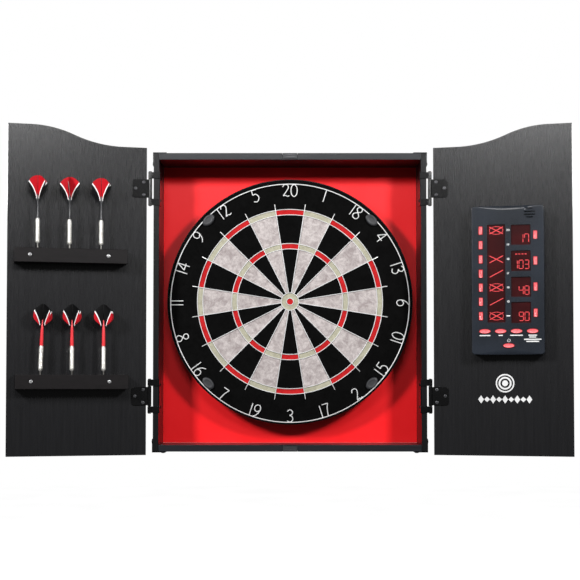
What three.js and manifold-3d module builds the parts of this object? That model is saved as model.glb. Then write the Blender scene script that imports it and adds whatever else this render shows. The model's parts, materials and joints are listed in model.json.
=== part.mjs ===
// Dart board cabinet: an open box on the wall with a bristle board in it, and two doors that carry
// the darts and an electronic scorer. Millimetres. +X is right, +Y is towards the wall, +Z is up.
// The origin is the centre of the cabinet's rear face. The doors stand open at rest.

import * as THREE from 'three';
import { mergeVertices } from 'three/addons/utils/BufferGeometryUtils.js';
import Module from 'manifold-3d';

const wasm = await Module();
wasm.setup();

// ---- Driving dimensions ----

const GAP = 0.3; // between pieces that rest on each other

const CABINET = { width: 493, height: 539, depth: 90, side: 10, rail: 12, back: 5 };
const BRACKET = { leg: 23, thick: 1.5, front: -88, rear: -64, clear: 0.1 };
const CATCH = { width: 26.6, height: 9.8, depth: 13, clear: 0.4 };

const HINGE = {
  out: 6, // from the cabinet's side to the pin's axis
  ahead: 1, // from the cabinet's front edge to the pin's axis
  heights: { upper: 204.5, lower: -170 },
  half: 30, // half of the hinge's height
  middle: 18, // half of the door's knuckle
  knuckle: 3.5,
  bore: 1.9,
  pin: 1.8,
  leaf: 1.5,
  inside: 0.25, // between the cabinet's inner side and the frame leaf
  wrap: 24, // how far the frame leaf reaches along the cabinet's inner side
  doorLeaf: { reach: 32.5, half: 16.5, corner: 5 },
};

const DOOR = { from: 6, to: 251.5, bottom: -275.5, low: 278.5, high: 312.6, thick: 13, face: 1 };
const SLOPE = { from: 47.5, to: 212, crest: 0.46 }; // where a door's top rises, and its upper arc's share
const DOOR_SWING = THREE.MathUtils.degToRad(13.5); // forward of lying flat, at rest

const BOARD = { z: 3, radius: 225.5, band: 1.2, rear: -7.2, face: -45, ply: 6 };
const HANGER = { half: 30, reach: 36, slot: 5, slotDepth: 40, thick: 1.5, clear: 0.2 };
const SECTORS = 20; // of the board
const WIRE = { thick: 1.3, clear: 0.2, reach: 181 };
const RINGS = { bull: 6.35, outerBull: 16, treble: [97, 107], double: [160, 170] };
const NUMBER_RING = { radius: 219, z: 0.5, thick: 2, clear: 1.4 };

const HOLDER = { length: 197, height: 25.6, depth: 28, hole: 2.3, holeOut: 19.5, pitch: 55.3 };
const DART = { point: 30, barrel: 44, shaft: 33, film: 0.6 };
// Each rack's darts: how deep each sits in its hole, how far its vanes are folded back from the plane
// that faces the front, and half of the flight's outline, from its foot on the shaft to its tip.
const RACKS = [
  {
    name: 'upper', from: 43.2, bottom: 64.7, firstDart: 89.3,
    seats: [21.9, 22, 21], folds: [24, 0, 29], shaft: 2.2,
    vane: [[1.5, 0], [17.9, 23.5], [18.2, 27.5], [13.5, 35.5], [1.5, 42]],
  },
  {
    name: 'lower', from: 40.4, bottom: -157.5, firstDart: 84,
    seats: [23.6, 23.6, 23.6], folds: [20, 30, 27], shaft: 3,
    vane: [[1.5, 0], [12, 8.5], [18, 17], [17, 28], [1.5, 39.5]],
  },
];
const LEAN = { rack: 'lower', dart: 3, angle: THREE.MathUtils.degToRad(-2.3) };

const SCORER = { u: 139.7, z: 34.8, width: 126.4, height: 262.4, corner: 5.5, wall: 2, rear: 9, depth: 25 };
const CRESCENT = { radius: 202, dip: 8.2, depth: 4 };
const WINDOWS = [
  { x: [-35.5, -4.1], z: [-74.8, 98.2] },
  { x: [5.9, 40.1], z: [61.5, 97.1] },
  { x: [5.9, 40.1], z: [15.5, 51.4] },
  { x: [5.9, 40.1], z: [-30, 5.2] },
  { x: [5.9, 40.1], z: [-75.9, -39] },
];
const LENS = { x: [-39.3, 42.3], z: [-79.5, 102], thick: 1.5 };
const SLOTS = [[125, 12], [119.8, 20], [114.7, 20], [110.1, 12]]; // height and length of each
const SLOT = { x: 38.5, thick: 1.5 };
const CIRCUIT = { width: 114, height: 240, thick: 1.6, front: -13.6 };
const BUTTON = { proud: 1.6, flange: 0.8, flangeThick: 1.2, clear: 0.35, stem: 1.5, clearance: 1.6 };
const SCORE_BUTTONS = { x: -46.9, size: [7.3, 15], rows: [88, 62.3, 37, 11.6, -13, -38, -63.3] };
const PLAYER_BUTTONS = { x: 48.1, size: [7.3, 15], rows: [78.5, 33, -12.6, -58.5] };
const MODE_BUTTONS = { z: -90.2, size: [20.3, 8.6], columns: [-40.1, -12.7, 14.8, 42.7] };
const POWER_BUTTON = { x: 1.4, z: -115.6, size: [20.3, 8.6] };

// ---- Materials ----

const finish = (color, roughness, metalness = 0) =>
  new THREE.MeshStandardMaterial({ color, roughness, metalness, flatShading: true });

const LAMINATE = finish(0x2c2c2e, 0.55);
const RED_PANEL = finish(0xd8242a, 0.45);
const BLACK_METAL = finish(0x17171a, 0.45, 0.6);
const STEEL = finish(0xc9cacc, 0.3, 1);
const GREY_PLASTIC = finish(0x6c6f72, 0.5);
const SISAL = finish(0x1a1a1a, 0.9);
const PLYWOOD = finish(0x8d6d48, 0.8);
const SCORER_SHELL = finish(0x3c444c, 0.45);
const RED_LENS = finish(0x32100f, 0.12);
const CIRCUIT_GREEN = finish(0x1f5a34, 0.6);
const RED_BUTTON = finish(0xf05a5f, 0.4);
const DART_FINISHES = { upper: finish(0xd42a2a, 0.5), lower: finish(0xb01f24, 0.5) };

// ---- Shapes ----

/** The same geometry as one closed skin: positions only, shared corners merged, no empty faces. */
function skin(geometry) {
  const plain = geometry.clone();
  plain.deleteAttribute('normal');
  plain.deleteAttribute('uv');
  const merged = mergeVertices(plain, 1e-4);
  const faces = [];
  const index = merged.index.array;
  for (let i = 0; i < index.length; i += 3) {
    const [a, b, c] = index.slice(i, i + 3);
    if (a !== b && b !== c && c !== a) faces.push(a, b, c);
  }
  merged.setIndex(faces);
  return merged;
}

function toSolid(geometry) {
  const { attributes, index } = skin(geometry);
  const vertProperties = new Float32Array(attributes.position.array);
  const triVerts = new Uint32Array(index.array);
  return new wasm.Manifold(new wasm.Mesh({ numProp: 3, vertProperties, triVerts }));
}

function toGeometry(solid) {
  const { vertProperties, triVerts } = solid.getMesh();
  const geometry = new THREE.BufferGeometry();
  geometry.setAttribute('position', new THREE.BufferAttribute(vertProperties, 3));
  geometry.setIndex(new THREE.BufferAttribute(triVerts, 1));
  return geometry;
}

function join(...shapes) {
  return toGeometry(shapes.map(toSolid).reduce((whole, shape) => whole.add(shape)));
}

function cut(shape, ...tools) {
  return toGeometry(tools.map(toSolid).reduce((left, tool) => left.subtract(tool), toSolid(shape)));
}

/** The mirror image across the plane X = 0. */
function mirrored(geometry) {
  const image = skin(geometry);
  image.scale(-1, 1, 1);
  const index = image.index.array;
  for (let i = 0; i < index.length; i += 3) [index[i], index[i + 1]] = [index[i + 1], index[i]];
  return image;
}

function box([x0, x1], [y0, y1], [z0, z1]) {
  const shape = new THREE.BoxGeometry(x1 - x0, y1 - y0, z1 - z0);
  return shape.translate((x0 + x1) / 2, (y0 + y1) / 2, (z0 + z1) / 2);
}

/** A flat plate: an outline drawn in X and Z, as thick as the span in Y. */
function plate(outline, [y0, y1], curveSegments = 6) {
  const shape = new THREE.ExtrudeGeometry(outline, { depth: y1 - y0, bevelEnabled: false, curveSegments });
  return shape.rotateX(Math.PI / 2).translate(0, y1, 0);
}

/** A turned shape about the Z axis, from points of radius and height. */
function turned(points, sides) {
  return new THREE.LatheGeometry(points.map(([r, z]) => new THREE.Vector2(r, z)), sides).rotateX(Math.PI / 2);
}

function rod(radius, [z0, z1], sides = 12) {
  return turned([[0, z0], [radius, z0], [radius, z1], [0, z1]], sides);
}

/** A disc or ring that faces along Y, with an outer and an inner radius. */
function disc(outer, inner, [y0, y1], sides) {
  const shape = inner
    ? turned([[inner, y0], [outer, y0], [outer, y1], [inner, y1], [inner, y0]], sides)
    : rod(outer, [y0, y1], sides);
  return shape.rotateX(-Math.PI / 2);
}

function roundedOutline(width, height, radius) {
  const [x, z] = [width / 2, height / 2];
  const outline = new THREE.Shape();
  outline.absarc(x - radius, z - radius, radius, 0, Math.PI / 2);
  outline.absarc(radius - x, z - radius, radius, Math.PI / 2, Math.PI);
  outline.absarc(radius - x, radius - z, radius, Math.PI, 1.5 * Math.PI);
  outline.absarc(x - radius, radius - z, radius, 1.5 * Math.PI, 2 * Math.PI);
  return outline;
}

function polygon(points) {
  return new THREE.Shape(points.map(([x, z]) => new THREE.Vector2(x, z)));
}

const cabinet = new THREE.Group();

function place(parent, name, geometry, material) {
  const mesh = new THREE.Mesh(skin(geometry), material);
  mesh.name = name;
  parent.add(mesh);
  return mesh;
}

// ---- Cabinet ----

const inner = { x: CABINET.width / 2 - CABINET.side, z: CABINET.height / 2 - CABINET.rail };

function makeRail(up) {
  const width = inner.x - GAP / 2;
  const notch = CATCH.width / 2 + CATCH.clear;
  const rail = box([-width, width], [-CABINET.depth, 0], [inner.z, CABINET.height / 2]);
  const room = box([-notch, notch], [-CABINET.depth - 1, CATCH.depth + GAP - CABINET.depth],
    [CABINET.height / 2 - CATCH.height - CATCH.clear, CABINET.height / 2 + 1]);
  const shape = cut(rail, room);
  return up > 0 ? shape : shape.rotateY(Math.PI);
}

function makeCatch(up) {
  const half = CATCH.width / 2;
  const block = box([-half, half], [-CABINET.depth, CATCH.depth - CABINET.depth],
    [CABINET.height / 2 - CATCH.height, CABINET.height / 2]);
  return up > 0 ? block : block.rotateY(Math.PI);
}

function makeBracket() {
  const { leg, thick, clear } = BRACKET;
  const [x, z] = [CABINET.width / 2 + clear, CABINET.height / 2 + clear];
  return plate(polygon([
    [x - leg, z], [x, z], [x, z - leg],
    [x + thick, z - leg], [x + thick, z + thick], [x - leg, z + thick],
  ]), [BRACKET.front, BRACKET.rear]);
}

function buildCabinet(parent) {
  const half = CABINET.height / 2;
  const side = box([inner.x, CABINET.width / 2], [-CABINET.depth, 0], [-half, half]);
  place(parent, 'left_side_panel', mirrored(side), LAMINATE);
  place(parent, 'right_side_panel', side, LAMINATE);
  place(parent, 'top_panel', makeRail(1), LAMINATE);
  place(parent, 'bottom_panel', makeRail(-1), LAMINATE);
  const back = { x: inner.x - GAP, z: inner.z - GAP };
  place(parent, 'back_panel', box([-back.x, back.x], [-CABINET.back, 0], [-back.z, back.z]), RED_PANEL);
  place(parent, 'top_catch', makeCatch(1), GREY_PLASTIC);
  place(parent, 'bottom_catch', makeCatch(-1), GREY_PLASTIC);

  const bracket = makeBracket();
  place(parent, 'corner_bracket_top_right', bracket, BLACK_METAL);
  place(parent, 'corner_bracket_top_left', mirrored(bracket), BLACK_METAL);
  place(parent, 'corner_bracket_bottom_left', bracket.clone().rotateY(Math.PI), BLACK_METAL);
  place(parent, 'corner_bracket_bottom_right', mirrored(bracket.clone().rotateY(Math.PI)), BLACK_METAL);
}

// ---- Board ----

const WIRE_SPAN = [BOARD.face - WIRE.clear - WIRE.thick, BOARD.face - WIRE.clear];

function makeSpider() {
  const [front, rear] = WIRE_SPAN;
  const half = WIRE.thick / 2;
  const radii = [RINGS.outerBull, ...RINGS.treble, ...RINGS.double];
  const rings = radii.map((r) => disc(r + half, r - half, [front, rear], SECTORS));
  const spokes = [];
  for (let n = 0; n < SECTORS; n++) {
    const spoke = box([RINGS.outerBull, WIRE.reach], [front, rear], [-half, half]);
    spokes.push(spoke.rotateY(((n + 0.5) * 2 * Math.PI) / SECTORS));
  }
  return join(...rings, ...spokes);
}

/** A wall bracket that the board's centre screw drops into: a plate with an open slot. */
function makeHanger() {
  const { half, reach, slot, slotDepth, thick, clear } = HANGER;
  const foot = reach - slotDepth;
  return plate(polygon([
    [-half, -reach], [half, -reach], [half, reach], [slot, reach],
    [slot, foot], [-slot, foot], [-slot, reach], [-half, reach],
  ]), [-CABINET.back - clear - thick, -CABINET.back - clear]);
}

function buildBoard(parent) {
  const board = new THREE.Group();
  board.position.z = BOARD.z;
  parent.add(board);
  const inside = BOARD.radius - BOARD.band - GAP;
  const split = BOARD.rear - BOARD.ply;
  place(board, 'board_hanger', makeHanger(), BLACK_METAL);
  place(board, 'board_backing', disc(inside, 0, [split, BOARD.rear], 60), PLYWOOD);
  place(board, 'board_core', disc(inside, 0, [BOARD.face, split - GAP], 60), SISAL);
  const band = disc(BOARD.radius, BOARD.radius - BOARD.band, [BOARD.face, BOARD.rear], 60);
  place(board, 'board_rim_band', band, BLACK_METAL);
  place(board, 'board_wires', makeSpider(), STEEL);
  const bull = disc(RINGS.bull + WIRE.thick / 2, RINGS.bull - WIRE.thick / 2, WIRE_SPAN, 16);
  place(board, 'bull_wire', bull, STEEL);
  const { radius, z, thick, clear } = NUMBER_RING;
  const rear = BOARD.face - clear;
  const ring = disc(radius + thick / 2, radius - thick / 2, [rear - thick, rear], 40);
  place(board, 'number_ring', ring.translate(0, 0, z - BOARD.z), STEEL);
}

// ---- Hinges, drawn for the left side about the pin's axis: +X goes in, towards the cabinet ----

function makeFrameLeaf() {
  const { half, middle, leaf, knuckle } = HINGE;
  const inside = HINGE.out + CABINET.side + HINGE.inside;
  const armFrom = middle + GAP;
  const parts = [];
  for (const [z0, z1] of [[armFrom, half], [-half, -armFrom]]) {
    parts.push(rod(knuckle, [z0, z1]));
    parts.push(box([0, inside + leaf], [-leaf / 2, leaf / 2], [z0, z1]));
    parts.push(box([inside, inside + leaf], [-leaf / 2, HINGE.wrap], [z0, z1]));
  }
  parts.push(box([inside, inside + leaf], [leaf, HINGE.wrap], [-half, half]));
  return cut(join(...parts), rod(HINGE.bore, [-half - 1, half + 1]));
}

/** The leaf on the door lies flat at rest, so +X goes out along the left door's mirror image. */
function makeDoorLeaf() {
  const { middle, leaf, knuckle, bore } = HINGE;
  const { reach, half, corner } = HINGE.doorLeaf;
  const rear = DOOR.face - GAP;
  const outline = new THREE.Shape();
  outline.moveTo(0, -half);
  outline.absarc(reach - corner, corner - half, corner, -Math.PI / 2, 0);
  outline.absarc(reach - corner, half - corner, corner, 0, Math.PI / 2);
  outline.lineTo(0, half);
  const flat = plate(outline, [rear - leaf, rear], 4);
  return cut(join(flat, rod(knuckle, [-middle, middle])), rod(bore, [-middle - 1, middle + 1]));
}

function makePin() {
  const { half, pin, knuckle } = HINGE;
  const [head, thick] = [knuckle - 0.6, 1.2];
  const top = half + 0.2;
  return turned([
    [0, -top - thick], [head, -top - thick], [head, -top], [pin, -top],
    [pin, top], [head, top], [head, top + thick], [0, top + thick],
  ], 12);
}

function buildHinges(frame, door, side, handed) {
  for (const [level, z] of Object.entries(HINGE.heights)) {
    const axis = new THREE.Group();
    axis.position.set(-(CABINET.width / 2 + HINGE.out), -CABINET.depth - HINGE.ahead, z);
    const onFrame = axis.matrix.compose(axis.position, axis.quaternion, axis.scale);
    const hinge = `${side}_${level}_hinge`;
    place(frame, `${hinge}_frame_leaf`, handed(makeFrameLeaf().applyMatrix4(onFrame)), BLACK_METAL);
    place(frame, `${hinge}_pin`, handed(makePin().applyMatrix4(onFrame)), STEEL);
    const leaf = mirrored(makeDoorLeaf()).translate(0, 0, z);
    place(door, `${hinge}_door_leaf`, handed(leaf), BLACK_METAL);
  }
}

// ---- Doors, drawn for the right side: X runs from the pin's axis to the free edge ----

/** The door's outline: straight, with a top that rises in an S of two arcs towards the free edge. */
function doorOutline() {
  const { from, to, bottom, low, high } = DOOR;
  const run = SLOPE.to - SLOPE.from;
  const bend = 2 * Math.atan((high - low) / run);
  const crest = (SLOPE.crest * run) / Math.sin(bend);
  const hollow = ((1 - SLOPE.crest) * run) / Math.sin(bend);
  const outline = new THREE.Shape();
  outline.moveTo(from, bottom);
  outline.lineTo(to, bottom);
  outline.lineTo(to, high);
  outline.absarc(SLOPE.to, high - crest, crest, Math.PI / 2, Math.PI / 2 + bend);
  outline.absarc(SLOPE.from, low + hollow, hollow, bend - Math.PI / 2, -Math.PI / 2, true);
  outline.lineTo(from, low);
  return outline;
}

/** A group at the pin's axis, turned to the door's rest angle. */
function doorGroup(parent, sign) {
  const group = new THREE.Group();
  group.position.set(sign * (CABINET.width / 2 + HINGE.out), -CABINET.depth - HINGE.ahead, 0);
  group.rotation.z = -sign * DOOR_SWING;
  parent.add(group);
  return group;
}

function makeHolder(rack) {
  const rear = DOOR.face - GAP;
  const top = rack.bottom + HOLDER.height;
  const bar = box([rack.from, rack.from + HOLDER.length], [rear - HOLDER.depth, rear], [rack.bottom, top]);
  const holes = rack.seats.map((seat, n) => {
    const hole = rod(HOLDER.hole, [top - seat - 0.5, top + 1], 12);
    return hole.translate(rack.firstDart + n * HOLDER.pitch, DOOR.face - HOLDER.holeOut, 0);
  });
  return cut(bar, ...holes);
}

/** The way each of a flight's four vanes points: crossed, or folded back from the front in pairs. */
function vaneAngles(fold) {
  const front = THREE.MathUtils.radToDeg(DOOR_SWING);
  const around = fold === 0 ? [0, 90, 180, 270] : [fold, 180 - fold, 180 + fold, 360 - fold];
  return around.map((angle) => THREE.MathUtils.degToRad(front + angle));
}

/** A dart that stands on its point at the origin, with four vanes of film on its shaft. */
function makeDart({ shaft, vane }, fold) {
  const barrelTop = DART.point + DART.barrel;
  const flightFrom = barrelTop + DART.shaft;
  const top = flightFrom + vane.at(-1)[1];
  const body = turned([
    [0, 0], [1.15, 6], [1.15, DART.point], [2.6, DART.point], [3.95, DART.point + 4],
    [3.95, barrelTop - 5], [shaft + 0.4, barrelTop], [shaft, barrelTop + 2], [shaft * 0.8, flightFrom + 6],
    [1, top - 6], [0, top - 6],
  ], 8);
  const outline = [[0, flightFrom], ...vane.map(([x, z]) => [x, flightFrom + z]), [0, top]];
  const film = plate(polygon(outline), [-DART.film / 2, DART.film / 2]);
  return join(body, ...vaneAngles(fold).map((angle) => film.clone().rotateZ(angle)));
}

function buildDarts(door, handed) {
  for (const rack of RACKS) {
    place(door, `dart_holder_${rack.name}`, handed(makeHolder(rack)), LAMINATE);
    rack.seats.forEach((seat, n) => {
      const dart = makeDart(rack, rack.folds[n]);
      if (rack.name === LEAN.rack && n + 1 === LEAN.dart) {
        dart.translate(0, 0, -seat / 2).rotateY(LEAN.angle).translate(0, 0, seat / 2);
      }
      const top = rack.bottom + HOLDER.height;
      dart.translate(rack.firstDart + n * HOLDER.pitch, DOOR.face - HOLDER.holeOut, top - seat);
      place(door, `dart_${rack.name}_${n + 1}`, handed(dart), DART_FINISHES[rack.name]);
    });
  }
}

// ---- Scorer, drawn about the middle of its rear face: its front looks along -Y ----

const scorerFront = -SCORER.depth;
const scorerSplit = -SCORER.rear;

function makeBackShell() {
  const { width, height, corner, wall } = SCORER;
  const shell = plate(roundedOutline(width, height, corner), [scorerSplit, 0], 5);
  const room = roundedOutline(width - 2 * wall, height - 2 * wall, corner - wall);
  return cut(shell, plate(room, [scorerSplit - 1, -wall], 4));
}

/** The sloping crescent at one end of the scorer's face, as the cone that is cut away. */
function crescentCone(up) {
  const { radius, dip, depth } = CRESCENT;
  const slope = dip / depth;
  const [over, under] = [2, 6];
  const cone = turned([
    [0, -over], [radius + slope * over, -over], [radius - slope * under, under], [0, under],
  ], 90).rotateX(-Math.PI / 2);
  cone.rotateZ(Math.PI);
  return cone.translate(0, scorerFront, up * (SCORER.height / 2 - dip + radius));
}

function buttonHole(size, clear, [y0, y1]) {
  const [width, height] = size.map((s) => s + 2 * clear);
  return plate(roundedOutline(width, height, Math.min(width, height) / 2 - 0.01), [y0, y1], 1);
}

function buttonPlaces() {
  const column = ({ rows, ...key }, name) =>
    rows.map((z, n) => ({ ...key, name: `${name}_button_${n + 1}`, z }));
  const modes = MODE_BUTTONS.columns.map((x, n) => ({ ...MODE_BUTTONS, name: `mode_button_${n + 1}`, x }));
  const power = { ...POWER_BUTTON, name: 'power_button' };
  return [...column(SCORE_BUTTONS, 'score'), ...column(PLAYER_BUTTONS, 'player'), ...modes, power];
}

function makeFrontShell() {
  const { width, height, corner, wall } = SCORER;
  const end = height / 2 - CRESCENT.dip + 1;
  const shell = plate(roundedOutline(width, height, corner), [scorerFront, scorerSplit - GAP], 5);
  const room = box([wall - width / 2, width / 2 - wall], [scorerFront + wall, scorerSplit + 1], [-end, end]);
  const through = [scorerFront - 1, scorerFront + wall + 1];
  const windows = WINDOWS.map(({ x, z }) => box(x, through, z));
  const holes = buttonPlaces().map(({ x, z, size }) =>
    buttonHole(size, BUTTON.clear, through).translate(x, 0, z));
  const slots = SLOTS.map(([z, length]) =>
    box([SLOT.x - length / 2, SLOT.x + length / 2], through, [z - SLOT.thick / 2, z + SLOT.thick / 2]));
  return cut(shell, room, crescentCone(1), crescentCone(-1), ...windows, ...holes, ...slots);
}

/** A key: a cap through the shell, a flange that keeps it in, and a plunger behind. */
function makeButton(size) {
  const flangeFront = scorerFront + SCORER.wall + GAP;
  const flangeRear = flangeFront + BUTTON.flangeThick;
  const cap = buttonHole(size, 0, [scorerFront - BUTTON.proud, flangeFront + 0.1]);
  const flange = buttonHole(size, BUTTON.flange, [flangeFront, flangeRear]);
  const tip = CIRCUIT.front - CIRCUIT.thick - BUTTON.clearance;
  const stem = box([-BUTTON.stem, BUTTON.stem], [flangeRear - 0.1, tip], [-BUTTON.stem, BUTTON.stem]);
  return join(cap, flange, stem);
}

function buildScorer(door) {
  const scorer = new THREE.Group();
  scorer.position.set(SCORER.u, DOOR.face - GAP, SCORER.z);
  door.add(scorer);
  place(scorer, 'scorer_back_shell', makeBackShell(), SCORER_SHELL);
  place(scorer, 'scorer_front_shell', makeFrontShell(), SCORER_SHELL);
  const lensFront = scorerFront + SCORER.wall + GAP;
  place(scorer, 'scorer_lens', box(LENS.x, [lensFront, lensFront + LENS.thick], LENS.z), RED_LENS);
  const { width, height, thick, front } = CIRCUIT;
  const circuit = box([-width / 2, width / 2], [front - thick, front], [-height / 2, height / 2]);
  place(scorer, 'scorer_circuit_board', circuit, CIRCUIT_GREEN);
  for (const { name, x, z, size } of buttonPlaces()) {
    place(scorer, name, makeButton(size), RED_BUTTON).position.set(x, 0, z);
  }
}

// ---- Assembly ----

buildCabinet(cabinet);
buildBoard(cabinet);
const doorPanel = plate(doorOutline(), [DOOR.face, DOOR.face + DOOR.thick], 10);
const leftDoor = doorGroup(cabinet, -1);
const rightDoor = doorGroup(cabinet, 1);
const asDrawn = (geometry) => geometry;
place(leftDoor, 'left_door', mirrored(doorPanel), LAMINATE);
place(rightDoor, 'right_door', doorPanel, LAMINATE);
buildHinges(cabinet, leftDoor, 'left', asDrawn);
buildHinges(cabinet, rightDoor, 'right', mirrored);
buildDarts(leftDoor, mirrored);
buildScorer(rightDoor);

export default cabinet;
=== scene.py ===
"""The looks of the dart board cabinet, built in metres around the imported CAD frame."""

import json
from math import cos, hypot, pi, radians, sin

import bmesh
import bpy
from mathutils import Matrix, Vector


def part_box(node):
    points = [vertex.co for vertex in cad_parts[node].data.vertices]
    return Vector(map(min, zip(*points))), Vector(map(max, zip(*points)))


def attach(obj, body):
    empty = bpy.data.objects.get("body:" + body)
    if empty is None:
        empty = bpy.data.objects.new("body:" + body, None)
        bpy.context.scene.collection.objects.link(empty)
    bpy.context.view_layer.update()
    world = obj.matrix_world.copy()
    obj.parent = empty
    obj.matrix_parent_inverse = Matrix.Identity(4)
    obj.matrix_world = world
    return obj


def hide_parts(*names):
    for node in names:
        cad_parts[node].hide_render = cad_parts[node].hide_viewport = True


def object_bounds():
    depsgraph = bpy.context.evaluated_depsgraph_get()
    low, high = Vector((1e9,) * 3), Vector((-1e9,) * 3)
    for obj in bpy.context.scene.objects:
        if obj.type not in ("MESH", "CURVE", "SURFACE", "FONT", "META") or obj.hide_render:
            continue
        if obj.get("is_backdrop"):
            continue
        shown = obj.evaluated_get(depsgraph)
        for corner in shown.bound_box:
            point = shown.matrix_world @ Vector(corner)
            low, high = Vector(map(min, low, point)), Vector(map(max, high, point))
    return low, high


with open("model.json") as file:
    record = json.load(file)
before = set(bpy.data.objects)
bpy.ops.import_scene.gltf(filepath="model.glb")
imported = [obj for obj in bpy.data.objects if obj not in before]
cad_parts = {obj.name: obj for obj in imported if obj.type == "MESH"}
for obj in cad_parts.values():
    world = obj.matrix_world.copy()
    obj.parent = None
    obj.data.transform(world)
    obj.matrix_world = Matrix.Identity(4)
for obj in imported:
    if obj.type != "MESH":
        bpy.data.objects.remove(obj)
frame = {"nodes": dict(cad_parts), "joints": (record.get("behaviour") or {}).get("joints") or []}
cad_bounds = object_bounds()
nodes = frame["nodes"]
MM = 0.001
TURN = 2 * pi



def linked(name, data):
    """A new object in the scene."""
    made = bpy.data.objects.new(name, data)
    bpy.context.scene.collection.objects.link(made)
    return made


# ---- Camera: straight on, from a little below the middle ----

# Metres in front of the cabinet and below its middle, degrees upwards, lens in millimetres, share of frame.
CAMERA = {"distance": 2.3, "below": 0.146, "tilt": 2.0, "lens": 79.36, "shift": 0.083}


def add_camera():
    data = bpy.data.cameras.new("camera")
    data.lens = CAMERA["lens"]
    data.sensor_width = 36
    data.shift_y = CAMERA["shift"]
    camera = linked("camera", data)
    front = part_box("left_side_panel")[0].y
    camera.location = (0, front - CAMERA["distance"], -CAMERA["below"])
    camera.rotation_euler = (radians(90 + CAMERA["tilt"]), 0, 0)
    bpy.context.scene.camera = camera


add_camera()

# ---- Materials: node trees over object coordinates, which are the CAD's own metres ----


def srgb(red, green, blue):
    """A linear colour from 8-bit screen values."""
    shares = (red / 255, green / 255, blue / 255)
    linear = [c / 12.92 if c <= 0.04045 else ((c + 0.055) / 1.055) ** 2.4 for c in shares]
    return (*linear, 1)


def brighter(color):
    """The colour a quarter brighter, and never over white."""
    return (*(min(1.0, c * 1.25) for c in color[:3]), 1)


class Finish:
    """A node material with the few building blocks that every finish here is made of."""

    def __init__(self, name):
        self.material = bpy.data.materials.new(name)
        self.material.use_nodes = True
        self.tree = self.material.node_tree
        self.surface = self.tree.nodes["Principled BSDF"]
        self.place = self.node("TexCoord").outputs["Object"]

    def node(self, kind, inputs=(), **settings):
        made = self.tree.nodes.new("ShaderNode" + kind)
        for name, value in settings.items():
            setattr(made, name, value)
        for name, value in dict(inputs).items():
            self.feed(made.inputs[name], value)
        return made

    def feed(self, socket, value):
        if isinstance(value, bpy.types.NodeSocket):
            self.tree.links.new(value, socket)
        else:
            socket.default_value = value

    def stretched(self, scale):
        return self.node("Mapping", {"Vector": self.place, "Scale": scale}).outputs["Vector"]

    def noise(self, scale, detail=2.0, roughness=0.5, distortion=0.0):
        """Noise with one scale, or with one for each axis."""
        place = self.place
        if not isinstance(scale, (int, float)):
            place, scale = self.stretched(scale), 1.0
        made = self.node("TexNoise", {"Vector": place, "Scale": scale, "Detail": detail,
                                      "Roughness": roughness, "Distortion": distortion})
        return made.outputs["Fac"]

    def cells(self, scale):
        return self.node("TexVoronoi", {"Vector": self.place, "Scale": scale}).outputs["Distance"]

    def along(self, axis, vector=None):
        """One coordinate of a vector, or of the place."""
        return self.node("SeparateXYZ", {"Vector": vector or self.place}).outputs[axis]

    def pattern(self):
        """The values that a piece's mesh carries for its finish."""
        return self.node("Attribute", attribute_name="pattern").outputs["Vector"]

    def ramp(self, value, *stops):
        made = self.node("ValToRGB", {"Fac": value})
        elements = made.color_ramp.elements
        while len(elements) < len(stops):
            elements.new(0.5)
        for element, (position, color) in zip(elements, stops):
            element.position = position
            element.color = color if isinstance(color, tuple) else (color, color, color, 1)
        return made.outputs["Color"]

    def between(self, value, first, last, start=0.3):
        """From one shade to another as the value rises, level at both ends."""
        return self.ramp(value, (start, first), (1 - start, last))

    def math(self, operation, first, second=0.0):
        made = self.node("Math", operation=operation)
        self.feed(made.inputs[0], first)
        self.feed(made.inputs[1], second)
        return made.outputs["Value"]

    def mix(self, factor, first, second, blend="MIX"):
        made = self.node("Mix", data_type="RGBA", blend_type=blend)
        for socket, value in ((0, factor), (6, first), (7, second)):
            self.feed(made.inputs[socket], value)
        return made.outputs[2]

    def relief(self, height, strength, depth):
        """Bumps of a height pattern, this many metres deep."""
        made = self.node("Bump", {"Height": height, "Strength": strength, "Distance": depth})
        self.feed(self.surface.inputs["Normal"], made.outputs["Normal"])

    def finish(self, **inputs):
        for name, value in inputs.items():
            self.feed(self.surface.inputs[name.replace("_", " ")], value)
        return self.material


STREAKS = (260, 260, 7)  # how often the grain changes in a metre, on an upright board
PORES = (1500, 1500, 40)
UPRIGHT = (1, 1, 1)
LEVEL = (7 / 260, 1, 260 / 7)  # turns the grain to run along X


def laminate(name, dark, light, grain, rough, specular):
    """Printed wood grain under satin: long streaks along the grain, and fine pores pressed in."""
    f = Finish(name)
    long, fine = [[a * b for a, b in zip(scale, grain)] for scale in (STREAKS, PORES)]
    streaks = f.noise(long, detail=5, roughness=0.62, distortion=0.4)
    pores = f.noise(fine, detail=3, roughness=0.6)
    broad = f.noise(3.2, detail=2)
    tone = f.math("ADD", f.math("MULTIPLY", streaks, 0.6), f.math("MULTIPLY", pores, 0.4))
    color = f.ramp(tone, (0.30, dark), (0.52, light), (0.72, brighter(light)))
    color = f.mix(f.math("MULTIPLY", broad, 0.25), color, dark)
    f.relief(tone, 0.22, 0.0003)
    return f.finish(Base_Color=color, Roughness=f.between(pores, rough[1], rough[0]),
                    Specular_IOR_Level=specular)


def coating(name, dark, light, rough, metallic, broad, fine, relief):
    """A broad change of tone, and a fine unevenness in the shine. Both are noise of a scale and detail."""
    f = Finish(name)
    tone, shine = f.noise(*broad), f.noise(*fine)
    f.relief(shine, *relief)
    return f.finish(Base_Color=f.between(tone, dark, light, 0.35), Metallic=metallic,
                    Roughness=f.between(shine, *rough))


def smooth_paint(name, dark, light, rough, peel=900.0, depth=0.00004, metallic=0.0):
    """Sprayed or moulded, with an orange peel that breaks up the shine."""
    return coating(name, dark, light, rough, metallic, (14, 3), (peel, 2), (0.5, depth))


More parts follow.
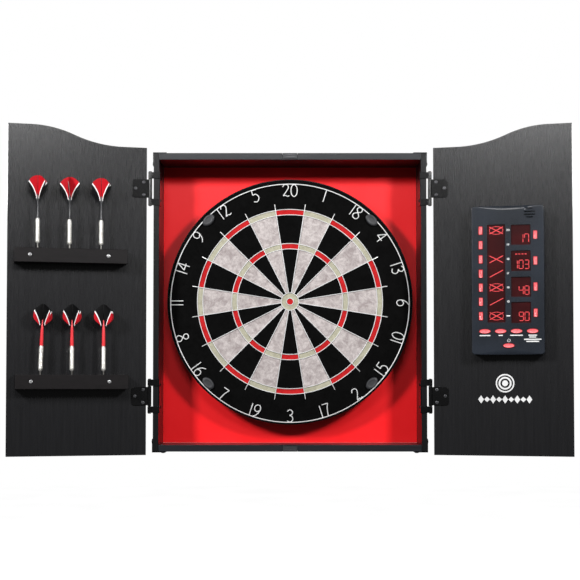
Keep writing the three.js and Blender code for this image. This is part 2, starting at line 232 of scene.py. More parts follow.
def metal(name, dark, light, rough, metallic=1.0):
    """Bare or plated metal, with smudges from handling."""
    return coating(name, dark, light, rough, metallic, (60, 3), ((500, 500, 500), 4, 0.6), (0.4, 0.00002))


def faced_hardboard(name, dark, light):
    """A board that is painted on its front and bare on its rear."""
    f = Finish(name)
    normal = f.node("TexCoord").outputs["Normal"]
    rear = f.math("GREATER_THAN", f.along("Y", normal), 0.5)
    peel, fibres = f.noise(420, detail=2), f.noise(180, detail=5, roughness=0.7)
    paint = f.between(f.noise(14, detail=3), dark, light, 0.35)
    bare = f.between(fibres, srgb(104, 76, 50), srgb(150, 116, 80))
    f.relief(peel, 0.5, 0.00004)
    return f.finish(Base_Color=f.mix(rear, paint, bare), Roughness=f.between(peel, 0.34, 0.46),
                    Specular_IOR_Level=0.3)


def sisal(name, dark, light, speck, shine=0.2):
    """Pressed fibre ends: a dot for each bristle, soft blotches, and a dull dry surface."""
    f = Finish(name)
    bristles = f.cells(1100)
    blotches = f.noise(75, detail=5, roughness=0.65, distortion=0.8)
    smears = f.noise(240, detail=3, roughness=0.7)
    color = f.ramp(blotches, (0.36, dark), (0.60, light))
    color = f.mix(f.ramp(smears, (0.45, 0.0), (0.8, 0.55)), color, speck)
    color = f.mix(f.ramp(bristles, (0.35, 0.0), (0.75, 0.45)), color, speck)
    f.relief(bristles, 0.5, 0.00025)
    return f.finish(Base_Color=color, Roughness=f.between(smears, 0.78, 0.94), Specular_IOR_Level=shine)


def knurled_metal(name):
    """Barrel plating: fine grooves turned around it, a little dull with handling."""
    f = Finish(name)
    pitch = 1.1 * MM
    groove = f.math("SINE", f.math("MULTIPLY", f.along("Z"), TURN / pitch))
    smudge = f.noise(160, detail=3)
    f.relief(groove, 0.5, 0.00012)
    color = f.between(smudge, srgb(206, 203, 196), srgb(236, 235, 230))
    return f.finish(Base_Color=color, Metallic=0.72, Roughness=f.between(smudge, 0.46, 0.34))


def chip_board(name):
    """Pressed wood chips of three tones, rough to the touch."""
    f = Finish(name)
    chips = f.cells(210)
    fine = f.noise(900, detail=3)
    color = f.ramp(chips, (0.1, srgb(150, 118, 80)), (0.5, srgb(186, 152, 108)), (0.9, srgb(120, 90, 58)))
    f.relief(fine, 0.5, 0.0002)
    return f.finish(Base_Color=color, Roughness=f.between(fine, 0.75, 0.92))


def circuit(name):
    """Green solder mask over copper tracks."""
    f = Finish(name)
    tracks = f.node("TexBrick", {"Vector": f.stretched((220, 220, 220)), "Scale": 1.0, "Mortar Size": 0.04,
                                 "Color1": srgb(22, 84, 46), "Color2": srgb(28, 96, 54),
                                 "Mortar": srgb(96, 150, 84)})
    f.relief(tracks.outputs["Fac"], 0.4, 0.00005)
    return f.finish(Base_Color=tracks.outputs["Color"], Roughness=f.between(f.noise(90), 0.3, 0.45))


def display_window(name):
    """Dark red acrylic: cloudy in tone, with a fine dust that breaks up its shine."""
    f = Finish(name)
    depth = f.noise(22, detail=2)
    dust = f.noise(1400, detail=2)
    color = f.between(depth, srgb(40, 9, 11), srgb(58, 15, 17))
    f.relief(dust, 0.15, 0.00002)
    return f.finish(Base_Color=color, Roughness=f.ramp(dust, (0.4, 0.16), (0.75, 0.26)), Coat_Weight=0.3,
                    Coat_Roughness=0.1)


def glowing(name, color, strength):
    """Lit plastic, a little brighter in places."""
    f = Finish(name)
    flicker = f.noise(500, detail=1)
    shade = f.between(flicker, color, brighter(color))
    return f.finish(Base_Color=shade, Emission_Color=shade, Emission_Strength=strength,
                    Roughness=f.between(flicker, 0.3, 0.4))


def soft_key(name):
    """Translucent red rubber. Painted shade darkens the key's edge, where it sinks into its hole, and a faint
    painted glow stands in for light through the rubber. The 'pattern' attribute is 0 at the edge and 1
    inside.
    """
    f = Finish(name)
    cloud = f.noise(320, detail=3)
    fine = f.noise(2500, detail=1)
    inside = f.along("X", f.pattern())
    rubber = f.between(cloud, srgb(236, 84, 90), srgb(250, 122, 126))
    # Painted shade: towards the key's edge the rubber is mixed into a dark red.
    color = f.mix(f.ramp(inside, (0.25, 0.0), (0.8, 1.0)), srgb(150, 26, 34), rubber)
    f.relief(fine, 0.3, 0.00003)
    # The emission is a painted glow. The key is no lamp.
    return f.finish(Base_Color=color, Emission_Color=color, Emission_Strength=0.2,
                    Roughness=f.between(cloud, 0.34, 0.42), Coat_Weight=0.25)


def flight_film(name, inner, faded, outer, curve):
    """Printed film. The 'pattern' attribute holds the distance from the shaft and the height, in
    millimetres. A white line that follows a curve divides the inner colour from the outer one."""
    f = Finish(name)
    pattern = f.pattern()
    out, up = f.along("X", pattern), f.along("Y", pattern)
    start, slope, bend, line = curve
    square = f.math("MULTIPLY", up, up)
    edge = f.math("ADD", f.math("MULTIPLY", square, bend), f.math("MULTIPLY", up, slope))
    beyond = f.math("SUBTRACT", out, f.math("ADD", edge, start))
    width = f.math("ADD", f.math("MULTIPLY", up, line / 30), line * 0.45)
    is_outer = f.math("GREATER_THAN", beyond, 0.0)
    is_line = f.math("LESS_THAN", f.math("ABSOLUTE", beyond), width)
    blotch = f.noise(420, detail=3)
    shade = f.mix(f.ramp(blotch, (0.35, 0.0), (0.75, 0.5)), inner, faded)
    color = f.mix(is_line, f.mix(is_outer, shade, outer), srgb(238, 238, 238))
    f.relief(f.noise(90, detail=2), 0.25, 0.0002)
    return f.finish(Base_Color=color, Roughness=f.between(blotch, 0.5, 0.62), Specular_IOR_Level=0.08)


DOOR_BLACK = laminate("door_laminate", srgb(12, 12, 14), srgb(22, 22, 24), UPRIGHT, (0.23, 0.31), 0.72)
SIDE_BLACK = laminate("side_laminate", srgb(9, 9, 11), srgb(16, 16, 18), UPRIGHT, (0.26, 0.36), 0.36)
RAIL_BLACK = laminate("rail_laminate", srgb(20, 22, 26), srgb(30, 32, 37), LEVEL, (0.30, 0.40), 0.42)
HOLDER_BLACK = laminate("holder_wood", srgb(10, 8, 9), srgb(20, 17, 18), LEVEL, (0.40, 0.55), 0.22)
RED_PANEL = faced_hardboard("red_panel", srgb(247, 24, 30), srgb(251, 29, 35))
BLACK_METAL = smooth_paint("black_metal", srgb(7, 7, 8), srgb(14, 14, 15), (0.18, 0.30), 1600, metallic=0.1)
CATCH_GREY = smooth_paint("catch_plastic", srgb(36, 38, 41), srgb(48, 50, 53), (0.4, 0.55))
CLIP_GREY = smooth_paint("clip_plastic", srgb(34, 35, 38), srgb(52, 53, 56), (0.42, 0.6), 700, 0.0001)
SHELL_SLATE = smooth_paint("scorer_plastic", srgb(29, 33, 39), srgb(37, 42, 50), (0.20, 0.30), 2200)
# Near black. Part of this is the rear shell's own dark plastic, and part is painted shade, made darker still
# so that the outline round the scorer reads dark.
REAR_SLATE_SHADE = smooth_paint("scorer_rear_plastic_shade", srgb(8, 9, 11), srgb(14, 15, 18), (0.3, 0.4), 2200)
WIRE_STEEL = metal("wire_steel", srgb(226, 226, 226), srgb(246, 246, 246), (0.28, 0.42), metallic=0.35)
POINT_STEEL = metal("point_steel", srgb(150, 148, 142), srgb(190, 188, 182), (0.25, 0.4))
SCREW_STEEL = metal("screw_steel", srgb(150, 150, 152), srgb(205, 205, 206), (0.25, 0.4), metallic=0.7)
DARK_SCREW = metal("dark_screw", srgb(62, 62, 65), srgb(96, 96, 99), (0.3, 0.45), metallic=0.6)
BARREL_STEEL = knurled_metal("barrel_steel")
SISAL_BLACK = sisal("sisal_black", srgb(4, 4, 4), srgb(9, 9, 9), srgb(16, 16, 16), 0.03)
SISAL_WHITE = sisal("sisal_white", srgb(156, 146, 145), srgb(204, 196, 194), srgb(130, 120, 119))
SISAL_RED = sisal("sisal_red", srgb(176, 20, 24), srgb(198, 32, 34), srgb(142, 12, 16))
SISAL_BEIGE = sisal("sisal_beige", srgb(166, 163, 144), srgb(184, 181, 160), srgb(134, 130, 112))
CHIP_BOARD = chip_board("backing_board")
CIRCUIT_GREEN = circuit("circuit_board")
WINDOW_RED = display_window("display_window")
LED_RED = glowing("display_glow", srgb(190, 58, 62), 0.36)
# Red rubber keys with painted shade at their edges and a painted glow.
KEY_RED_SHADE_GLOW = soft_key("button_rubber")
PRINT_WHITE = smooth_paint("white_print", srgb(214, 214, 214), srgb(236, 236, 236), (0.45, 0.6))
FLIGHT_BLACK = srgb(8, 8, 9)
SHAFT_FINISHES = {
    "upper": smooth_paint("black_shaft", srgb(22, 22, 25), srgb(36, 36, 40), (0.25, 0.38), 1800),
    "lower": smooth_paint("red_shaft", srgb(214, 44, 52), srgb(232, 62, 68), (0.25, 0.38), 1800),
}
FLIGHT_FINISHES = {
    "upper": flight_film("red_film", srgb(182, 14, 28), srgb(150, 10, 22), FLIGHT_BLACK,
                         (2.4, 0.085, 0.0125, 1.0)),
    "lower": flight_film("black_film", FLIGHT_BLACK, srgb(16, 16, 17), srgb(184, 22, 34),
                         (4.2, 0.20, 0.0085, 1.0)),
}

# ---- Shapes, drawn in millimetres ----


class Shape:
    """Points and faces that are collected piece by piece, each part a closed skin of its own."""

    def __init__(self):
        self.points, self.faces, self.pattern = [], [], []

    def add(self, points, faces, at=None, pattern=None):
        base = len(self.points)
        self.points += [(at @ Vector(p)) if at else Vector(p) for p in points]
        self.faces += [[base + i for i in face] for face in faces]
        self.pattern += pattern or [(0, 0, 0)] * len(points)
        return self

    def loft(self, rings, at=None, around=False):
        """Skins a row of loops of equal length. The ends are capped, or joined if it runs around."""
        count = len(rings[0])
        points = [p for ring in rings for p in ring]
        spans = len(rings) if around else len(rings) - 1
        faces = []
        for r in range(spans):
            a, b = r * count, (r + 1) % len(rings) * count
            faces += [[a + i, a + (i + 1) % count, b + (i + 1) % count, b + i] for i in range(count)]
        if not around:
            faces += [list(range(count)), list(range((len(rings) - 1) * count, len(rings) * count))]
        return self.add(points, faces, at)

    def turned(self, profile, at=None, sides=48):
        """A turned solid about Z, from points of radius and height."""
        return self.loft([circle(radius, height, sides) for radius, height in profile], at)

    def ring(self, outline, at=None, sides=192):
        """A closed outline of radius and height, swept once around Z."""
        loops = []
        for n in range(sides):
            angle = TURN * n / sides
            loops.append([(r * cos(angle), r * sin(angle), h) for r, h in outline])
        return self.loft(loops, at, around=True)

    def wire(self, path, radius, closed=False, sides=10):
        """Round wire along a path, with rounded-off ends."""
        path = [Vector(p) for p in path]
        loops = []
        for i, point in enumerate(path):
            before = path[i - 1] if i or closed else point
            after = path[(i + 1) % len(path)] if i + 1 < len(path) or closed else point
            along = (after - before).normalized()
            side = along.cross(Vector((0, 1, 0)))
            side = (side if side.length > 0.05 else along.cross(Vector((1, 0, 0)))).normalized()
            up = side.cross(along)
            loops.append([point + radius * (cos(a) * side + sin(a) * up)
                          for a in (TURN * k / sides for k in range(sides))])
        return self.loft(loops, around=closed)

    def slab(self, outline, front, rear, edge=0.0, steps=3, at=None):
        """A plate whose outline lies in X and Z. Its front edge is rounded off by this radius."""
        rings = [[(x, rear, z) for x, z in outline]]
        for n in range(steps + 1 if edge else 1):
            turn = pi / 2 * n / steps
            inset = edge * (1 - cos(turn))
            rings.append([(x, front + edge * (1 - sin(turn)), z) for x, z in shrunk(outline, inset)])
        return self.loft(rings, at)


def circle(radius, height, sides=48):
    radius = max(radius, 0.01)
    angles = [TURN * n / sides for n in range(sides)]
    return [(radius * cos(angle), radius * sin(angle), height) for angle in angles]


def rounded(width, height, corner, steps=6, x=0.0, z=0.0):
    """A rectangle's outline with round corners, anticlockwise."""
    points = []
    for quarter, (sx, sz) in enumerate(((1, 1), (-1, 1), (-1, -1), (1, -1))):
        for n in range(steps + 1):
            angle = pi / 2 * (quarter + n / steps)
            points.append((x + sx * (width / 2 - corner) + corner * cos(angle),
                           z + sz * (height / 2 - corner) + corner * sin(angle)))
    return points


def ellipse(width, height, sides=40, x=0.0, z=0.0):
    return [(x + width / 2 * cos(TURN * n / sides), z + height / 2 * sin(TURN * n / sides))
            for n in range(sides)]


def shrunk(outline, inset):
    """The outline moved inwards by its corners' normals."""
    if not inset:
        return outline
    moved = []
    for i, (x, z) in enumerate(outline):
        (ax, az), (bx, bz) = outline[i - 1], outline[(i + 1) % len(outline)]
        length = hypot(bx - ax, bz - az)
        moved.append((x - inset * (bz - az) / length, z + inset * (bx - ax) / length))
    return moved


SHARP = 32  # edges sharper than this many degrees stay sharp


def mesh_of(name, shape, at, smooth=SHARP):
    """A shape's mesh in metres, placed in the frame."""
    mesh = bpy.data.meshes.new(name)
    place = Matrix.Scale(MM, 4) if at is None else at @ Matrix.Scale(MM, 4)
    mesh.from_pydata([place @ Vector(p) for p in shape.points], [], shape.faces)
    if any(any(p) for p in shape.pattern):
        layer = mesh.attributes.new("pattern", "FLOAT_VECTOR", "POINT")
        layer.data.foreach_set("vector", [c for p in shape.pattern for c in p])
    tidy(mesh, smooth)
    return mesh


def make(name, shape, finish, body, replaces=(), smooth=SHARP, at=None):
    """Turns a shape into a piece that rides on a body and takes its finish from a material slot."""
    mesh = mesh_of(name, shape, at, smooth)
    piece = linked(name, mesh)
    mesh.materials.append(finish)
    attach(piece, body)
    if replaces:
        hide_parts(*replaces)
    return piece


def tidy(mesh, smooth):
    """Turns all faces outwards, and shades them smooth up to this many degrees between them."""
    work = bmesh.new()
    work.from_mesh(mesh)
    bmesh.ops.recalc_face_normals(work, faces=work.faces)
    work.to_mesh(mesh)
    work.free()
    mesh.polygons.foreach_set("use_smooth", [True] * len(mesh.polygons))
    mesh.set_sharp_from_angle(angle=radians(smooth))


def combine(piece, shape, at, operation="DIFFERENCE"):
    """Cuts a shape out of a piece, or joins it on, and keeps the resulting mesh."""
    tool = linked("tool", mesh_of("tool", shape, at))
    modifier = piece.modifiers.new("combine", "BOOLEAN")
    modifier.object, modifier.operation, modifier.solver = tool, operation, "EXACT"
    keep_modifiers(piece)
    bpy.data.objects.remove(tool)


def keep_modifiers(piece):
    """Replaces a piece's mesh with what its modifiers make of it."""
    graph = bpy.context.evaluated_depsgraph_get()
    mesh = bpy.data.meshes.new_from_object(piece.evaluated_get(graph))
    piece.modifiers.clear()
    piece.data = mesh
    tidy(mesh, SHARP)


def even_shading(piece):
    """Flat faces look flat: the large ones decide the shading of the edges they share."""
    shading = piece.modifiers.new("shading", "WEIGHTED_NORMAL")
    shading.keep_sharp = True


def soften(piece, width, segments, angle=40):
    """A modifier that rounds a piece's sharp edges by this many millimetres."""
    bevel = piece.modifiers.new("edges", "BEVEL")
    bevel.width = width * MM
    bevel.segments = segments
    bevel.limit_method = "ANGLE"
    bevel.angle_limit = radians(angle)


def round_off(piece, width, angle=40):
    """Rounds a piece's sharp edges, and keeps the resulting mesh."""
    soften(piece, width, 2, angle)
    keep_modifiers(piece)
    even_shading(piece)


def dress(node, finish, edge):
    """Gives a CAD node its finish, and rounds its edges without moving its own corners."""
    piece = nodes[node]
    piece.data.materials.clear()
    piece.data.materials.append(finish)
    piece.data.polygons.foreach_set("use_smooth", [True] * len(piece.data.polygons))
    weld = piece.modifiers.new("weld", "WELD")
    weld.merge_threshold = 0.00001
    if edge:
        soften(piece, edge, 3)
    even_shading(piece)


def screw_head(radius, height, slot=0.62):
    """A domed cross-head screw, standing on the XY plane. The slots reach this share of its radius."""
    sides = 64

    def cross(reach, half, level):
        loop = []
        for n in range(sides):
            angle = TURN * (n + 0.5) / sides
            c, s = abs(cos(angle)), abs(sin(angle))
            far = max(min(reach / c, half / s), min(half / c, reach / s))
            loop.append((far * cos(angle), far * sin(angle), level))
        return loop

    dome = [(1, 0), (1, 0.3), (0.95, 0.6), (0.82, 0.85), (slot + 0.04, 0.98)]
    rings = [circle(radius * r, height * h, sides) for r, h in dome]
    reach, half = radius * slot, radius * 0.16
    rings += [cross(reach, half, height), cross(reach * 0.9, half * 0.8, height * 0.35)]
    return Shape().loft(rings)


FRONT = (0, -1, 0)


def facing(point, normal, spin=0.0):
    """A place in millimetres whose Z looks along the normal, turned by a spin in degrees."""
    turn = Vector(normal).to_track_quat("Z", "Y").to_matrix().to_4x4()
    return Matrix.Translation(Vector(point)) @ turn @ Matrix.Rotation(radians(spin), 4, "Z")


def screws(name, places, finish, body, radius, height, at=None):
    """One piece that holds the screw heads of one part, each with its slot at another angle."""
    head, shape = screw_head(radius, height), Shape()
    for n, (point, normal) in enumerate(places):
        shape.add(head.points, head.faces, facing(point, normal, 20 + 37 * n))
    return make(name, shape, finish, body, at=at, smooth=40)


def sunk_screws(piece, name, points, hole, sink, finish, body, radius, height, at):
    """Flat-bottomed holes, of this radius and depth, in a piece's front, and screws sunk in them."""
    hole_radius, depth = hole
    holes = Shape()
    for point in points:
        holes.turned([(hole_radius, -depth), (hole_radius, 1)], facing(point, FRONT))
    combine(piece, holes, at)
    even_shading(piece)
    places = [((x, y + sink, z), FRONT) for x, y, z in points]
    screws(f"screws_{name}", places, finish, body, radius, height, at)


# ---- Places taken from the frame ----


def millimetres(node):
    """The lowest and the highest corner of a CAD node."""
    low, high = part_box(node)
    return low / MM, high / MM


def extent(points):
    """The lowest and the highest corner of the box round some points."""
    return [Vector([pick(p[i] for p in points) for i in range(3)]) for pick in (min, max)]


joints = {joint["child"]: joint for joint in frame["joints"]}
DOOR_SWING = 13.5  # degrees that each door stands forward of lying flat, at rest
SIDES = {"left": -1, "right": 1}
# Stands up what is drawn about Z, so that its height looks to the front.
STAND = Matrix.Rotation(pi / 2, 4, "X")


def door_place(side):
    """The door's own axes: X from the hinge pin to the free edge, mirrored on the left door."""
    turn = Matrix.Rotation(radians(-SIDES[side] * DOOR_SWING), 4, "Z")
    pin = Vector(joints[f"{side}_door"]["pos_m"])
    return Matrix.Translation(pin) @ turn @ Matrix.Diagonal((SIDES[side], 1, 1, 1))


DOOR_AT = {side: door_place(side) for side in SIDES}
DOOR_FACE = 1.0  # the door's inner face lies this far behind the hinge pin's axis

# ---- Cabinet box ----


def build_box():
    for side in SIDES:
        dress(f"{side}_side_panel", SIDE_BLACK, 0.7)
    for level in ("top", "bottom"):
        dress(f"{level}_panel", RAIL_BLACK, 0.6)
        dress(f"{level}_catch", CATCH_GREY, 0.5)
        for side in SIDES:
            dress(f"corner_bracket_{level}_{side}", BLACK_METAL, 0.35)
    dress("back_panel", RED_PANEL, 0)


BRACKET_SCREW_END = 5.5  # from the end of a bracket's leg to the middle of its screw


def build_bracket_screws():
    """Each bracket has a screw through each of its two legs."""
    for level, up in (("top", 1), ("bottom", -1)):
        for side, out in SIDES.items():
            low, high = millimetres(f"corner_bracket_{level}_{side}")
            x, z = high.x if out > 0 else low.x, high.z if up > 0 else low.z
            corner = Vector((x, (low.y + high.y) / 2, z))
            reach = high.x - low.x - BRACKET_SCREW_END
            places = ((corner - Vector((0, 0, up * reach)), (out, 0, 0)),
                      (corner - Vector((out * reach, 0, 0)), (0, 0, up)))
            screws(f"screws_bracket_{level}_{side}", places, BLACK_METAL, "root", 3.6, 1.6)


POLE = {"apart": 3.4, "thick": 1.1, "end": 3.5}  # the last is from the catch's end to the plate's


def build_catch_details():
    """Two steel pole plates show in the face of each magnetic catch."""
    for level in ("top", "bottom"):
        low, high = millimetres(f"{level}_catch")
        middle, front = (low.z + high.z) / 2, low.y
        shape = Shape()
        for offset in (-POLE["apart"] / 2, POLE["apart"] / 2):
            bar = rounded(high.x - low.x - 2 * POLE["end"], POLE["thick"], 0.4, 3, z=middle + offset)
            shape.slab(bar, front - 0.25, front + 1.5, 0.15)
        make(f"magnet_plates_{level}", shape, DARK_SCREW, "root")


# ---- Hinges ----

# Radii of the knuckles and of their bore; half heights of the gap between the arms, of the middle knuckle
# and of the whole hinge; half the leaf's thickness; how far its plate reaches back inside the cabinet.
HINGE = {"knuckle": 3.5, "bore": 1.9, "arm": 18.3, "middle": 18.0, "half": 30.0, "leaf": 0.75, "wrap": 24.0}
HINGE_IN = 16.25  # from the pin's axis to the frame leaf's plate on the cabinet's inner side
DOOR_LEAF = {"width": 32.5, "half": 16.5, "corner": 5.0, "front": -0.8, "rear": 0.7}
DOOR_LEAF_SCREWS = ((11.5, -11.5), (11.5, 11.5), (26.5, 0))


def knuckle(low, high):
    """A hollow barrel with chamfered ends, between two heights."""
    bore, outer, edge = HINGE["bore"], HINGE["knuckle"], 0.4
    outline = [(bore, low), (outer - edge, low), (outer, low + edge),
               (outer, high - edge), (outer - edge, high), (bore, high)]
    return Shape().ring(outline, sides=40)


def block(x, y, z):
    """A plain block between two values of each axis."""
    return Shape().loft([[(x[i], y[j], level) for i, j in ((0, 0), (1, 0), (1, 1), (0, 1))] for level in z])


def build_frame_leaf(side, level, height):
    """Two arms reach from the knuckles over the cabinet's front edge, and a plate wraps inside."""
    pin = joints[f"{side}_door"]["pos_m"]
    at = Matrix.Translation((pin[0], pin[1], height * MM)) @ Matrix.Diagonal((-SIDES[side], 1, 1, 1))
    leaf, half, outer = HINGE["leaf"], HINGE["half"], HINGE_IN + 1.5
    name = f"{side}_{level}_hinge_frame_leaf"
    plate = Shape().slab(rounded(2 * HINGE["wrap"], 2 * half, 4, 5), -outer, -HINGE_IN)
    plate_at = at @ Matrix.Rotation(pi / 2, 4, "Z")
    piece = make(f"leaf_{name}", plate, BLACK_METAL, "root", replaces=[name], at=plate_at)
    arm, through = HINGE["arm"], (HINGE_IN - 1, outer + 1)
    combine(piece, block(through, (-60, -leaf), (-half - 1, half + 1)), at)
    combine(piece, block(through, (-leaf - 1, leaf + 0.9), (-arm, arm)), at)
    for low, high in ((arm, half), (-half, -arm)):
        combine(piece, block((HINGE["bore"] + 0.6, outer - 0.4), (-leaf, leaf), (low, high)), at, "UNION")
        combine(piece, knuckle(low, high), at, "UNION")
    round_off(piece, 0.3)
    places = [((outer, HINGE["wrap"] * 0.62, z), (1, 0, 0)) for z in (-20, 20)]
    screws(f"screws_{name}", places, BLACK_METAL, "root", 3.0, 1.1, at)


def build_door_leaf(side, level, height):
    """A plate on the door's face, with its knuckle between the frame's two."""
    at = DOOR_AT[side] @ Matrix.Translation((0, 0, height * MM))
    width, half, corner, front, rear = DOOR_LEAF.values()
    name = f"{side}_{level}_hinge_door_leaf"
    body = f"{side}_door"
    plate = Shape().slab(rounded(2 * width, 2 * half, corner, 8), front, rear, 0.35)
    piece = make(f"leaf_{name}", plate, BLACK_METAL, body, replaces=[name], at=at)
    combine(piece, block((-width - 9, HINGE["bore"] + 0.6), (-9, 9), (-half - 9, half + 9)), at)
    combine(piece, knuckle(-HINGE["middle"], HINGE["middle"]), at, "UNION")
    sunk_screws(piece, name, [(x, front, z) for x, z in DOOR_LEAF_SCREWS], (3.5, 1.05), 1, DARK_SCREW, body,
                3.1, 1.05, at)


def build_pin(side, level, height):
    """A pin with a chamfered head at each end."""
    pin = joints[f"{side}_door"]["pos_m"]
    at = Matrix.Translation((pin[0], pin[1], height * MM))
    top, head = HINGE["half"] + 0.2, HINGE["knuckle"] - 0.6
    profile = [(head - 0.6, -top - 1.2), (head, -top - 0.7), (head, -top), (1.8, -top)]
    profile += [(r, -z) for r, z in reversed(profile)]
    name = f"{side}_{level}_hinge_pin"
    make(f"pin_{name}", Shape().turned(profile), BLACK_METAL, "root", replaces=[name], at=at)


def build_hinges():
    for side in SIDES:
        for level in ("upper", "lower"):
            low, high = millimetres(f"{side}_{level}_hinge_pin")
            height = (low.z + high.z) / 2
            build_frame_leaf(side, level, height)
            build_door_leaf(side, level, height)
            build_pin(side, level, height)


# ---- Board ----

ROUND = 240  # sides of the board's large circles
BOARD_LOW, BOARD_HIGH = millimetres("board_core")
BOARD_Z = (BOARD_LOW.z + BOARD_HIGH.z) / 2
BOARD_FACE = BOARD_LOW.y
SISAL_RADIUS = (BOARD_HIGH.x - BOARD_LOW.x) / 2
RADII = {"bull": 6.35, "outer_bull": 16, "treble": (97, 107), "double": (160, 170)}
WIRE_RADIUS = 0.75
SPOKE_REACH = 181
SPOKE_RISE = 0.25  # the spokes stand this much prouder where they cross the rings
BED_DEPTH = 3
NUMBERS = (20, 1, 18, 4, 13, 6, 10, 15, 2, 17, 3, 19, 7, 16, 8, 11, 14, 9, 12, 5)
SECTOR = TURN / len(NUMBERS)

BOARD_AT = Matrix.Translation(Vector((0, 0, BOARD_Z)) * MM) @ STAND


def away(angle):
    """The direction from the board's centre, with the angle clockwise from the top."""
    return Vector((sin(angle), 0, cos(angle)))


def on_board(radius, angle, y):
    """A point on the board, with the angle clockwise from the top."""
    return Vector((radius * sin(angle), y, BOARD_Z + radius * cos(angle)))


def bed(shape, inner, outer, start, end):
    """One scoring bed: a sector of pressed fibre with slightly rounded shoulders."""
    shoulder, steps = 0.35, max(2, round((end - start) / SECTOR * 10))
    front, rear = BOARD_FACE, BOARD_FACE + BED_DEPTH
    rings = []
    for n in range(steps + 1):
        angle = start + (end - start) * n / steps
        profile = ((inner, rear), (inner, front + shoulder), (inner + shoulder, front),
                   (outer - shoulder, front), (outer, front + shoulder), (outer, rear))
        rings.append([on_board(r, angle, y) for r, y in profile])
    shape.loft(rings)


BED_GAP = 0.12  # between a bed and the middle of the wire beside it


def build_beds():
    """Every bed of one colour is in one piece, and so are the two rings of the bull."""
    gap = BED_GAP
    beds = {"black": Shape(), "white": Shape(), "red": Shape(), "beige": Shape()}
    spans = ((RADII["outer_bull"], RADII["treble"][0], 0), (*RADII["treble"], 1),
             (RADII["treble"][1], RADII["double"][0], 0), (*RADII["double"], 1))
    for n in range(len(NUMBERS)):
        start, end = (n - 0.5) * SECTOR, (n + 0.5) * SECTOR
        plain, ringed = ("black", "red") if n % 2 == 0 else ("white", "beige")
        for inner, outer, scoring in spans:
            trim = gap / ((inner + outer) / 2)
            bed(beds[ringed if scoring else plain], inner + gap, outer - gap, start + trim, end - trim)
    depth = BOARD_FACE + BED_DEPTH
    stand = Matrix.Translation((0, 0, BOARD_Z)) @ STAND
    inner, outer = RADII["bull"] + gap, RADII["outer_bull"] - gap
    ring = [(inner, -depth), (inner, -BOARD_FACE), (outer, -BOARD_FACE), (outer, -depth)]
    beds["beige"].ring(ring, stand, sides=64)
    bull = RADII["bull"] - gap
    beds["red"].turned([(bull, -depth), (bull, -BOARD_FACE - 0.3), (bull - 0.3, -BOARD_FACE)], stand)
    finishes = {"black": SISAL_BLACK, "white": SISAL_WHITE, "red": SISAL_RED, "beige": SISAL_BEIGE}
    for color, shape in beds.items():
        make(f"beds_{color}", shape, finishes[color], "root")


def build_board_body():
    """The black fibre disc: its face outside the beds, and a floor that they stand on."""
    rear, front = -BOARD_HIGH.y, -BOARD_FACE
    floor, wall = front - BED_DEPTH - 0.1, RADII["double"][1] + BED_GAP
    profile = [(SISAL_RADIUS, rear), (SISAL_RADIUS, front - 1.2), (SISAL_RADIUS - 0.5, front - 0.3),
               (SISAL_RADIUS - 1.6, front), (wall, front), (wall, floor)]
    shape = Shape().turned(profile, sides=ROUND)
    make("sisal_body", shape, SISAL_BLACK, "root", replaces=["board_core"], at=BOARD_AT)
    low, high = millimetres("board_backing")
    disc = [(SISAL_RADIUS - 0.5, -high.y), (SISAL_RADIUS, -high.y + 0.5), (SISAL_RADIUS, -low.y)]
    make("backing_disc", Shape().turned(disc, sides=ROUND), CHIP_BOARD, "root",
         replaces=["board_backing"], at=BOARD_AT)
    low, high = millimetres("board_rim_band")
    outer, inner = high.x, SISAL_RADIUS + 0.15
    rim = [(inner, -high.y), (outer - 0.3, -high.y), (outer, -high.y + 0.3), (outer, -low.y - 0.3),
           (outer - 0.3, -low.y), (inner, -low.y)]
    make("rim_band", Shape().ring(rim, sides=ROUND), BLACK_METAL, "root",
         replaces=["board_rim_band"], at=BOARD_AT)


def build_wires():
    """The spider: rings and spokes of round wire, with each spoke's outer end bent into the board."""
    y = BOARD_FACE - WIRE_RADIUS
    shape = Shape()
    for radius in (RADII["outer_bull"], *RADII["treble"], *RADII["double"]):
        steps = ROUND if radius > 50 else 60
        shape.wire([on_board(radius, TURN * n / steps, y) for n in range(steps)], WIRE_RADIUS, closed=True)
    for n in range(len(NUMBERS)):
        angle = (n + 0.5) * SECTOR
        path = [(RADII["outer_bull"], y)]
        path += [(radius, y - SPOKE_RISE) for radius in (*RADII["treble"], RADII["double"][0])]
        path += [(SPOKE_REACH - 1.5, y), (SPOKE_REACH, y + 0.8), (SPOKE_REACH, y + 3)]
        shape.wire([on_board(r, angle, depth) for r, depth in path], WIRE_RADIUS)
    make("spider_wires", shape, WIRE_STEEL, "root", replaces=["board_wires"])
    bull = [on_board(RADII["bull"], TURN * n / 48, y) for n in range(48)]
    make("bull_ring", Shape().wire(bull, WIRE_RADIUS, closed=True), WIRE_STEEL, "root",
         replaces=["bull_wire"])


# ---- Number ring: every digit is bent from wire. Strokes are in units of the digit's height ----

